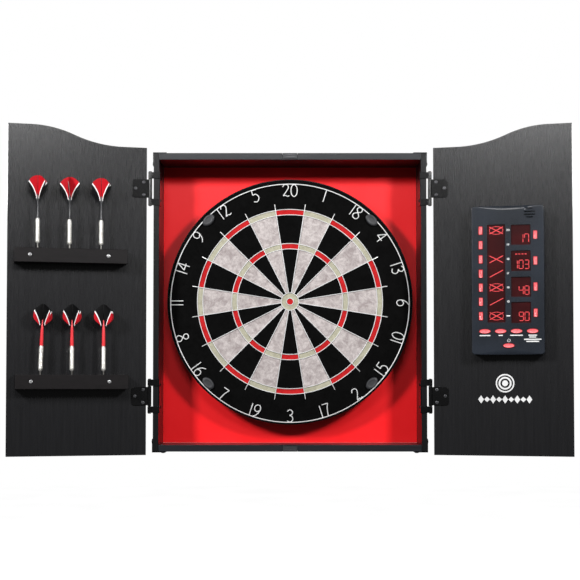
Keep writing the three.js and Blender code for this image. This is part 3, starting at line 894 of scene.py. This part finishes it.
DIGIT_HEIGHT = 22.5
DIGIT_WIRE = 0.95
DIGITS = {
    "0": [[(0.27, 1), (0.05, 0.75), (0.05, 0.25), (0.27, 0), (0.5, 0.25), (0.5, 0.75), (0.27, 1)]],
    "1": [[(0.1, 1), (0.1, 0)]],
    "2": [[(0.03, 0.8), (0.16, 0.98), (0.42, 0.95), (0.48, 0.72), (0.3, 0.4), (0.06, 0.06)],
          [(0.06, 0.06), (0.25, 0.1), (0.42, 0.02), (0.56, 0.08)]],
    "3": [[(0.06, 0.86), (0.27, 1), (0.48, 0.84), (0.42, 0.62), (0.24, 0.55)],
          [(0.24, 0.55), (0.44, 0.44), (0.5, 0.2), (0.3, 0), (0.04, 0.1)]],
    "4": [[(0.4, 0), (0.4, 1)], [(0.4, 1), (0.0, 0.34)], [(0.0, 0.34), (0.56, 0.34)]],
    "5": [[(0.5, 1), (0.12, 1)], [(0.12, 1), (0.1, 0.6)],
          [(0.1, 0.6), (0.32, 0.64), (0.5, 0.46), (0.5, 0.2), (0.3, 0), (0.04, 0.08)]],
    "6": [[(0.46, 1), (0.2, 0.78), (0.04, 0.4), (0.1, 0.08), (0.3, 0), (0.5, 0.16), (0.48, 0.44),
           (0.28, 0.55), (0.08, 0.42)]],
    "7": [[(0, 1), (0.5, 1)], [(0.5, 1), (0.34, 0.6), (0.24, 0)]],
    "8": [[(0.27, 0.54), (0.06, 0.74), (0.14, 0.97), (0.4, 0.97), (0.48, 0.74), (0.27, 0.54), (0.03, 0.28),
           (0.12, 0.02), (0.42, 0.02), (0.51, 0.28), (0.27, 0.54)]],
}
DIGITS["9"] = [[(0.55 - x, 1 - y) for x, y in stroke] for stroke in DIGITS["6"]]
DIGIT_WIDTHS = {digit: 0.2 if digit == "1" else 0.56 for digit in DIGITS}
DIGIT_SPACE = 0.12


def curved(points, steps=5):
    """A smooth curve through the points, or the straight line if there are only two."""
    if len(points) < 3:
        return points
    ends = [tuple(2 * a - b for a, b in zip(points[0], points[1])), *points,
            tuple(2 * a - b for a, b in zip(points[-1], points[-2]))]
    if points[0] == points[-1]:
        ends[0], ends[-1] = points[-2], points[1]
    path = []
    for a, b, c, d in zip(ends, ends[1:], ends[2:], ends[3:]):
        for n in range(steps):
            t = n / steps
            path.append(tuple(0.5 * (2 * q + (r - p) * t + (2 * p - 5 * q + 4 * r - s) * t * t
                                     + (3 * q - p - 3 * r + s) * t ** 3) for p, q, r, s in zip(a, b, c, d)))
    return path + [points[-1]]


def written(text, place):
    """The strokes of a number as paths. place turns a digit's own x and y into a point."""
    width = sum(DIGIT_WIDTHS[c] for c in text) + DIGIT_SPACE * (len(text) - 1)
    x = -width / 2
    for c in text:
        for stroke in DIGITS[c]:
            yield [place(x + u, v) for u, v in curved(stroke)]
        x += DIGIT_WIDTHS[c] + DIGIT_SPACE


def build_number_ring():
    """A hoop of wire with the numbers inside it, upright all round the board."""
    low, high = millimetres("number_ring")
    radius, y, z = (high.x - low.x) / 2 - 1, (low.y + high.y) / 2, (low.z + high.z) / 2
    drop = Vector((0, 0, z - BOARD_Z))
    path = [on_board(radius, TURN * n / ROUND, y) + drop for n in range(ROUND)]
    shape = Shape().wire(path, DIGIT_WIRE, closed=True)
    for n, number in enumerate(NUMBERS):
        angle = n * SECTOR
        outward = cos(angle) > -0.01
        radial, clockwise = away(angle), away(angle + pi / 2)
        foot = on_board(radius - 0.6 - (DIGIT_HEIGHT if outward else 0), angle, y) + drop
        up, right = (radial, clockwise) if outward else (-radial, -clockwise)
        for stroke in written(str(number), lambda u, v: foot + DIGIT_HEIGHT * (v * up + u * right)):
            shape.wire(stroke, DIGIT_WIRE)
    make("number_ring_wire", shape, WIRE_STEEL, "root", replaces=["number_ring"])


CLIP = {"radius": 212.0, "length": 26.0, "width": 17.0, "height": 5.2}


def build_ring_clips():
    """Four moulded clips hold the number ring down. Each is an oval button with a domed top."""
    shape = Shape()
    dome = ((1, 0), (1, 0.45), (0.96, 0.72), (0.86, 0.9), (0.66, 0.97), (0.58, 0.9), (0.3, 0.92))
    for quarter in range(4):
        angle = (quarter + 0.5) * TURN / 4
        rings = []
        for share, lift in dome:
            ring = []
            for x, z in ellipse(CLIP["length"] * share, CLIP["width"] * share):
                point = on_board(CLIP["radius"] + z, angle, BOARD_FACE - CLIP["height"] * lift)
                ring.append(point + x * away(angle + pi / 2))
            rings.append(ring)
        shape.loft(rings)
    make("ring_clips", shape, CLIP_GREY, "root")


# ---- Doors and dart holders ----

HOLE_RADIUS = 2.3
HOLDER_SCREWS = (33.6, 169.8)  # from the end nearer the hinge


def in_door(side, point):
    """A point of the frame, in metres, as seen along the door's own axes, in millimetres."""
    return DOOR_AT[side].inverted() @ Vector(point) / MM


def door_span(side, node):
    """The lowest and highest corners of a CAD node along the door's own axes."""
    return extent([in_door(side, v.co) for v in nodes[node].data.vertices])


def build_holder(level):
    """A wooden rail with three countersunk holes for darts, and two screws sunk in its front."""
    name = f"dart_holder_{level}"
    low, high = door_span("left", name)
    at = DOOR_AT["left"]
    middle = ((low.x + high.x) / 2, (low.z + high.z) / 2)
    outline = rounded(high.x - low.x, high.z - low.z, 0.8, 3, *middle)
    piece = make(f"rail_{name}", Shape().slab(outline, low.y, high.y, 1.0), HOLDER_BLACK, "left_door",
                 replaces=[name], at=at)
    for n in (1, 2, 3):
        tip = in_door("left", dart_tip(f"dart_{level}_{n}"))
        hole = Shape().turned([(HOLE_RADIUS, tip.z - 0.4), (HOLE_RADIUS, high.z - 0.7),
                               (HOLE_RADIUS + 1.2, high.z + 0.5)], Matrix.Translation((tip.x, tip.y, 0)))
        combine(piece, hole, at)
    points = [(low.x + u, low.y, middle[1] + 0.5) for u in HOLDER_SCREWS]
    sunk_screws(piece, name, points, (4.3, 1.6), 1.5, SCREW_STEEL, "left_door", 3.4, 1.7, at)


def dart_tip(node):
    """The dart's lowest point, in metres."""
    return min((v.co for v in nodes[node].data.vertices), key=lambda co: co.z).copy()


# ---- Darts, each drawn from its tip up ----

DART = {"point": 30.0, "barrel": 44.0, "shaft": 33.0, "flight": 42.0}
DART_FOLDS = {"upper": (28, 0, 34), "lower": (28, 36, 37)}  # degrees each vane is folded back; 0 is crossed
BARREL_PROFILES = {
    "upper": ((1.7, 0), (3.0, 0), (4.1, 2.2), (4.15, 4), (3.85, 9), (3.95, 20), (3.85, 31), (4.15, 38),
              (3.9, 41), (3.0, 43.4), (2.4, 44)),
    "lower": ((1.7, 0), (2.6, 0.5), (3.7, 2.6), (4.15, 5.5), (3.9, 13), (3.85, 22), (3.9, 32), (4.15, 38),
              (3.9, 41), (3.2, 43.6), (3.0, 44)),
}
SHAFT_PROFILES = {
    "upper": ((2.2, 0), (2.3, 1.5), (2.0, 3), (2.0, 30), (2.2, 33), (2.0, 40), (0.9, 43)),
    "lower": ((3.0, 0), (3.15, 1), (3.1, 10), (2.6, 28), (2.3, 33), (1.5, 38), (0.8, 46)),
}
# Half of each vane's outline, as distance from the shaft and height.
VANES = {
    "upper": ((1.6, 0), (3.4, 2), (10.0, 12), (16.6, 21.5), (18.3, 25.5), (18.2, 28.5), (14.8, 34.5),
              (9.2, 39.2), (4.0, 41.5), (0.9, 42)),
    "lower": ((1.6, 0), (4.6, 3), (11.5, 8.5), (16.6, 13.5), (18.2, 18.5), (17.6, 24), (16.4, 29.5),
              (10.5, 35), (4.6, 39.6), (0.9, 41)),
}
VANE_STEPS = 9


def vane(level, at):
    """One thin vane: a grid from the shaft to the edge, a little cupped, with its front and its back."""
    outline = curved(VANES[level], 4)
    inner, half = 0.6, 0.12
    grid, pattern, rows = [], [], len(outline)
    for face in (-half, half):
        for reach, height in outline:
            for n in range(VANE_STEPS + 1):
                share = n / VANE_STEPS
                out = inner + (reach - inner) * share
                cup = 0.5 * sin(pi * share) * sin(pi * height / DART["flight"])
                grid.append((out, face + cup, height))
                pattern.append((out, height, 0))
    width = VANE_STEPS + 1
    faces = []
    for r in range(rows - 1):
        for n in range(VANE_STEPS):
            a = r * width + n
            quad = [a, a + 1, a + width + 1, a + width]
            faces += [quad, [rows * width + i for i in reversed(quad)]]
    rim = [*range(width)] + [r * width + width - 1 for r in range(1, rows)]
    rim += [(rows - 1) * width + n for n in range(width - 2, -1, -1)]
    rim += [r * width for r in range(rows - 2, 0, -1)]
    for a, b in zip(rim, rim[1:] + rim[:1]):
        faces.append([a, b, rows * width + b, rows * width + a])
    return Shape().add(grid, faces, at, pattern)


def vane_angles(fold):
    """The way each of a flight's four vanes points: crossed, or folded back from the front in pairs."""
    turns = (fold, 180 - fold, 180 + fold, -fold) if fold else (0, 90, 180, 270)
    return [radians(turn) for turn in turns]


def build_dart(level, number):
    """A dart's four pieces, stacked along its axis."""
    node = f"dart_{level}_{number}"
    axis = Vector(joints[node]["axis"])
    lean = Vector((0, 0, 1)).rotation_difference(axis).to_matrix().to_4x4()
    at = Matrix.Translation(dart_tip(node)) @ lean
    lift = DART["point"]
    point = [(0.05, 0), (0.7, 3), (1.15, 9), (1.2, lift - 6), (1.7, lift - 0.5), (1.7, lift + 1)]
    make(f"point_{node}", Shape().turned(point, sides=24), POINT_STEEL, node,
         replaces=[node], at=at)
    barrel = [(r, z + lift) for r, z in BARREL_PROFILES[level]]
    make(f"barrel_{node}", Shape().turned(barrel, sides=40), BARREL_STEEL, node, at=at)
    lift += DART["barrel"] + 0.05
    shaft = [(r, z + lift) for r, z in SHAFT_PROFILES[level]]
    make(f"shaft_{node}", Shape().turned(shaft, sides=32), SHAFT_FINISHES[level], node, at=at)
    lift += DART["shaft"]
    flight = Shape()
    for turn in vane_angles(DART_FOLDS[level][number - 1]):
        part = vane(level, Matrix.Translation((0, 0, lift)) @ Matrix.Rotation(turn, 4, "Z"))
        flight.add(part.points, part.faces, None, part.pattern)
    make(f"flight_{node}", flight, FLIGHT_FINISHES[level], node, at=at)


# ---- Scorer, drawn about the middle of its rear face ----


def scorer_place():
    low, high = door_span("right", "scorer_back_shell")
    middle = Vector(((low.x + high.x) / 2, high.y, (low.z + high.z) / 2))
    return DOOR_AT["right"] @ Matrix.Translation(middle * MM)


SCORER_AT = scorer_place()
SCORER = {"width": 126.4, "height": 262.4, "corner": 5.5, "depth": 25.0, "rear": 9.0, "wall": 2.0}
SCORER_OUTLINE = rounded(SCORER["width"], SCORER["height"], SCORER["corner"], 8)
# Left, right, bottom and top of the marks' window, and then of the four scores'.
WINDOWS = ((-35.5, -4.1, -74.8, 98.2), (5.9, 40.1, 61.5, 97.1), (5.9, 40.1, 15.5, 51.4),
           (5.9, 40.1, -30, 5.2), (5.9, 40.1, -75.9, -39))
SPEAKER = ((125, 12), (119.8, 20), (114.7, 20), (110.1, 12))  # each slot's height and length
SPEAKER_X = 38.5
CRESCENT = {"radius": 202.0, "dip": 8.2, "depth": 4.0}
OVAL = (20.3, 8.4)  # width and height of an oval key, and of a bar-shaped one
BAR = (7.3, 15)
KEY_ROOM = 0.45  # between a key and the edge of its hole


def scorer_span(node):
    """The middle of a CAD node of the scorer in the scorer's own axes, and its size."""
    low, high = extent([SCORER_AT.inverted() @ v.co / MM for v in nodes[node].data.vertices])
    return (low + high) / 2, high - low


KEYS = [f"score_button_{n}" for n in range(1, 8)] + [f"player_button_{n}" for n in range(1, 5)]
OVAL_KEYS = [f"mode_button_{n}" for n in range(1, 5)] + ["power_button"]
KEY_PLACES = {key: scorer_span(key)[0] for key in KEYS + OVAL_KEYS}


def key_outline(key, grow):
    """A key's outline, made larger by this much all round."""
    x, _, z = KEY_PLACES[key]
    if key in OVAL_KEYS:
        return ellipse(OVAL[0] + 2 * grow, OVAL[1] + 2 * grow, 48, x, z)
    return rounded(BAR[0] + 2 * grow, BAR[1] + 2 * grow, 1.4 + grow, 5, x, z)


def build_front_shell():
    """A moulded cover: rounded rim, display windows, key holes, speaker slots, two sloping crescents."""
    front, rear = -SCORER["depth"], -SCORER["rear"] - 0.3
    shell = Shape().slab(SCORER_OUTLINE, front, rear, 1.8, 5)
    piece = make("shell_scorer_front", shell, SHELL_SLATE, "right_door",
                 replaces=["scorer_front_shell"], at=SCORER_AT)
    for up in (1, -1):
        slope, over, under = CRESCENT["dip"] / CRESCENT["depth"], 2, 6
        cone = [(CRESCENT["radius"] + slope * over, over), (CRESCENT["radius"] - slope * under, -under)]
        centre = Vector((0, front, up * (SCORER["height"] / 2 - CRESCENT["dip"] + CRESCENT["radius"])))
        at = SCORER_AT @ Matrix.Translation(centre * MM) @ STAND
        combine(piece, Shape().turned(cone, sides=400), at)
    half = SCORER["width"] / 2 - SCORER["wall"]
    end = SCORER["height"] / 2 - CRESCENT["dip"] + 1
    combine(piece, block((-half, half), (front + SCORER["wall"], rear + 2), (-end, end)), SCORER_AT)
    holes = Shape()
    through = (front - 1, front + SCORER["wall"] + 1)
    for left, right, low, high in WINDOWS:
        window = rounded(right - left, high - low, 1.0, 4, (left + right) / 2, (low + high) / 2)
        holes.slab(window, *through)
    for height, length in SPEAKER:
        holes.slab(rounded(length, 2.2, 1.0, 4, SPEAKER_X, height), *through)
    for key in KEYS + OVAL_KEYS:
        holes.slab(key_outline(key, KEY_ROOM), *through)
    combine(piece, holes, SCORER_AT)
    round_off(piece, 0.3, 50)


def build_back_shell():
    """A tray, open to the front."""
    wall, depth = SCORER["wall"], SCORER["rear"]
    # Its finish carries painted shade for the dark outline round the scorer.
    piece = make("shell_scorer_back", Shape().slab(SCORER_OUTLINE, -depth, 0), REAR_SLATE_SHADE, "right_door",
                 replaces=["scorer_back_shell"], at=SCORER_AT)
    room = rounded(SCORER["width"] - 2 * wall, SCORER["height"] - 2 * wall, SCORER["corner"] - wall, 8)
    combine(piece, Shape().slab(room, -depth - 1, -wall), SCORER_AT)
    round_off(piece, 0.4)


def build_speaker_cloth():
    """The dark cloth behind the speaker's slots."""
    front = SCORER["wall"] + 0.3 - SCORER["depth"]
    outline = rounded(26, 15, 2, 5, SPEAKER_X, 116)
    make("speaker_cloth", Shape().slab(outline, front, front + 0.8), SISAL_BLACK, "right_door",
         at=SCORER_AT)


# A key's sections from the rear to the front: how far each is drawn in, and how far behind the cover's face.
KEY_LAYERS = ((0, 3.2), (0, -0.9), (0.25, -1.3), (0.7, -1.55), (1.3, -1.5), (2.2, -1.2))
KEY_SHADE_EDGE = 1.8  # the width of the band of painted shade round a key's face


def build_keys():
    """Each key has a rounded shoulder and a shallow dish in its face."""
    for key in KEYS + OVAL_KEYS:
        rings = []
        for inset, y in KEY_LAYERS:
            rings.append([(x, y - SCORER["depth"], z) for x, z in key_outline(key, -inset)])
        shape = Shape().loft(rings)
        # The pattern runs from 0 at the key's side to 1 on its face. It places the painted shade at the edge.
        shape.pattern = [(min(1, inset / KEY_SHADE_EDGE), 0, 0) for inset, _ in KEY_LAYERS for _ in rings[0]]
        make(f"key_{key}", shape, KEY_RED_SHADE_GLOW, key, replaces=[key], at=SCORER_AT)


# The two ends of each segment of a digit, as X and Z in shares of its width and height.
SEGMENTS = {"a": (0, 1, 1, 1), "b": (1, 0.5, 1, 1), "c": (1, 0, 1, 0.5), "d": (0, 0, 1, 0),
            "e": (0, 0, 0, 0.5), "f": (0, 0.5, 0, 1), "g": (0, 0.5, 1, 0.5)}
LIT = {"0": "abcdef", "1": "bc", "3": "abcdg", "4": "bcfg", "7": "abcf", "8": "abcdefg", "9": "abcdfg"}
LED = {"width": 7.2, "height": 14.8, "bar": 1.25, "pitch": 9.9, "right": 3.4, "foot": 4.2}
SCORES = ("17", "103", "48", "90")
MARKS = ("box", "", "cross", "slash", "box", "slash", "box")
MARK = (24.0, 12.5)


def led_bar(shape, start, end, width, y):
    """One lit bar with pointed ends, between two points in X and Z."""
    (x0, z0), (x1, z1) = start, end
    length = hypot(x1 - x0, z1 - z0)
    ux, uz = (x1 - x0) / length, (z1 - z0) / length
    half = width / 2
    points = ((0, 0), (half, half), (length - half, half), (length, 0), (length - half, -half), (half, -half))
    outline = [(x0 + ux * s - uz * t, z0 + uz * s + ux * t) for s, t in points]
    shape.loft([[(x, y, z) for x, z in outline], [(x, y - 0.12, z) for x, z in outline]])


def build_display():
    """The lit parts of the display, just in front of the window's plate."""
    centre, size = scorer_span("scorer_lens")
    y = centre.y - size.y / 2 - 0.03
    shape = Shape()
    for row, mark in enumerate(MARKS):
        x, z = (WINDOWS[0][0] + WINDOWS[0][1]) / 2, KEY_PLACES[f"score_button_{row + 1}"].z
        w, h = MARK[0] / 2, MARK[1] / 2
        if mark:
            led_bar(shape, (x - w, z - h), (x + w, z + h), 1.5, y)
        if mark in ("cross", "box"):
            led_bar(shape, (x - w, z + h), (x + w, z - h), 1.5, y)
        if mark == "box":
            oval = ellipse(2 * w, 2 * (h + 0.6), 28, x, z)
            for a, b in zip(oval, oval[1:] + oval[:1]):
                led_bar(shape, a, b, 1.2, y)
    for score, (_, right, low, _) in zip(SCORES, WINDOWS[1:]):
        for place, digit in enumerate(reversed(score)):
            left = right - LED["right"] - LED["width"] - place * LED["pitch"]
            foot = low + LED["foot"]
            for name in LIT[digit]:
                x0, z0, x1, z1 = SEGMENTS[name]
                ends = []
                for x, z, sign in ((x0, z0, 1), (x1, z1, -1)):
                    inset = 0.35 * sign
                    across_x, across_z = (inset, 0) if x0 != x1 else (0, inset)
                    ends.append((left + x * LED["width"] + across_x, foot + z * LED["height"] + across_z))
                led_bar(shape, *ends, LED["bar"], y)
    left, _, _, top = WINDOWS[2]
    for n in range(4):  # a row of small dashes above the second score
        x = left + 7 + n * 5.4
        led_bar(shape, (x, top - 6), (x + 4, top - 6), 1.6, y)
    make("display_segments", shape, LED_RED, "right_door", at=SCORER_AT)


ROW_X = 0.9  # the middle of the row numbers
SIGN = {"above": 9.0, "radius": 2.5, "stroke": 3.4, "wire": 0.4}  # the on-off sign, above its key


def build_labels():
    """Plain white marks printed on the cover: the row numbers, rules under the keys, an on-off sign."""
    y = -SCORER["depth"] - 0.06
    shape = Shape()

    def rule(x, z, length, thick=2.0):
        shape.slab(rounded(length, thick, thick * 0.3, 3, x, z), y, y + 0.2)

    for row, text in enumerate(("20", "19", "18", "17", "16", "15")):
        z = KEY_PLACES[f"score_button_{row + 1}"].z - 1.6
        for stroke in written(text, lambda u, v: (ROW_X + 3.2 * u * 1.5, y, z + 3.2 * v)):
            shape.wire(stroke, 0.45, sides=6)
    rule(ROW_X, KEY_PLACES["score_button_7"].z, 6.5)
    for key, length in zip(OVAL_KEYS, (19, 7.5, 22, 15)):
        rule(KEY_PLACES[key].x, KEY_PLACES[key].z - 7.4, length)
    last = KEY_PLACES[OVAL_KEYS[3]]
    for drop, length in ((10.6, 12), (14.6, 30), (18.2, 22)):
        rule(last.x, last.z - drop, length)
    x, z = KEY_PLACES["power_button"].x, KEY_PLACES["power_button"].z + SIGN["above"]
    turns = [radians(35 + 290 * n / 20) for n in range(21)]
    arc = [(x + SIGN["radius"] * sin(turn), y, z + SIGN["radius"] * cos(turn)) for turn in turns]
    for stroke in (arc, [(x, y, z), (x, y, z + SIGN["stroke"])]):
        shape.wire(stroke, SIGN["wire"], sides=6)
    make("scorer_labels", shape, PRINT_WHITE, "right_door", at=SCORER_AT)


# ---- A plain printed mark on the right door: a roundel over a row of lozenges ----

# The roundel's middle on the door, the radii of its rings and its spot, and how far the row is below it.
DOOR_MARK = {"x": 132.4, "z": -146.8, "radii": ((16.4, 14.0), (11.4, 8.4), (5.2, 0.0)), "row": -28.7}
LOZENGE = {"width": 10.2, "height": 14.6, "pitch": 10.6, "count": 9}


def build_door_mark():
    """A plain roundel over a row of lozenges, printed on the door."""
    y = DOOR_FACE - 0.1
    front, rear = -y, -y - 0.25
    shape = Shape()
    at = DOOR_AT["right"] @ Matrix.Translation(Vector((DOOR_MARK["x"], 0, DOOR_MARK["z"])) * MM)
    for outer, inner in DOOR_MARK["radii"]:
        if inner:
            shape.ring([(inner, front), (outer, front), (outer, rear), (inner, rear)], STAND, sides=72)
        else:
            shape.turned([(outer, rear), (outer, front)], STAND)
    half_width, half_height, drop = LOZENGE["width"] / 2, LOZENGE["height"] / 2, DOOR_MARK["row"]
    for n in range(LOZENGE["count"]):
        x = (n - (LOZENGE["count"] - 1) / 2) * LOZENGE["pitch"]
        tall = half_height * (0.66 if n % 2 else 1)
        shape.slab([(x - half_width, drop), (x, drop - tall), (x + half_width, drop), (x, drop + tall)],
                   y, y + 0.25)
    make("door_mark", shape, PRINT_WHITE, "right_door", at=at)


# ---- Stage and light ----

# Each light's place and what it aims at, its width and height in metres, and its power in watts.
LIGHTS = {
    "soft_box_left": ((-1.10, -1.30, 0.65), (-0.1, 0, 0), (0.22, 0.28), 25),
    "soft_box_right": ((0.96, -1.30, 0.65), (0.1, 0, 0), (0.22, 0.28), 21),
    "overhead": ((-0.11, -2.2, 1.05), (0, 0, 0.1), (0.9, 0.3), 14),
    "soft_box_rear_left": ((-1.3, 1.9, 0.9), (0, 0, 0), (0.9, 0.9), 28),
    "soft_box_rear_right": ((1.3, 1.9, 0.9), (0, 0, 0), (0.9, 0.9), 28),
}
FLOOR = {"size": 14, "height": -0.9}


def add_light(name, place, aim, size, power):
    data = bpy.data.lights.new(name, "AREA")
    data.shape, data.size, data.size_y = "RECTANGLE", *size
    data.energy = power
    light = linked(name, data)
    light.location = place
    light.rotation_euler = (Vector(aim) - Vector(place)).to_track_quat("-Z", "Y").to_euler()


def build_stage():
    """A pale floor under the wall cabinet, the lights, and a surround that is white to the camera."""
    bpy.ops.mesh.primitive_plane_add(size=FLOOR["size"], location=(0, 0, FLOOR["height"]))
    floor = bpy.context.object
    floor.name = "floor"
    f = Finish("pale_floor")
    tone = f.between(f.noise(3), srgb(250, 250, 250), srgb(254, 254, 254))
    f.finish(Base_Color=tone, Roughness=0.9, Emission_Color=tone, Emission_Strength=0.95)
    floor.data.materials.append(f.material)
    floor.visible_diffuse = floor.visible_glossy = False
    floor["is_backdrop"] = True
    for name, light in LIGHTS.items():
        add_light(name, *light)
    world = bpy.data.worlds.new("surround")
    bpy.context.scene.world = world
    world.use_nodes = True
    tree = world.node_tree
    tree.nodes.clear()
    output = tree.nodes.new("ShaderNodeOutputWorld")
    mix = tree.nodes.new("ShaderNodeMixShader")
    sight = tree.nodes.new("ShaderNodeLightPath")
    tree.links.new(sight.outputs["Is Camera Ray"], mix.inputs[0])
    for n, strength in ((1, 0.06), (2, 1.0)):
        glow = tree.nodes.new("ShaderNodeBackground")
        glow.inputs["Color"].default_value = (1, 1, 1, 1)
        glow.inputs["Strength"].default_value = strength
        tree.links.new(glow.outputs[0], mix.inputs[n])
    tree.links.new(mix.outputs[0], output.inputs["Surface"])
    bpy.context.scene.view_settings.view_transform = "Standard"


# ---- Everything, in order ----

build_box()
build_bracket_screws()
build_catch_details()
build_hinges()
dress("board_hanger", BLACK_METAL, 0.3)
build_board_body()
build_beds()
build_wires()
build_number_ring()
build_ring_clips()
for door in SIDES:
    dress(f"{door}_door", DOOR_BLACK, 0.35)
for rack in ("upper", "lower"):
    build_holder(rack)
    for dart in (1, 2, 3):
        build_dart(rack, dart)
build_back_shell()
build_front_shell()
dress("scorer_lens", WINDOW_RED, 0.2)
dress("scorer_circuit_board", CIRCUIT_GREEN, 0.2)
build_speaker_cloth()
build_keys()
build_display()
build_labels()
build_door_mark()
build_stage()

boxes = [cad_bounds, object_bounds()]
[[list(corner) for corner in box] for box in boxes]
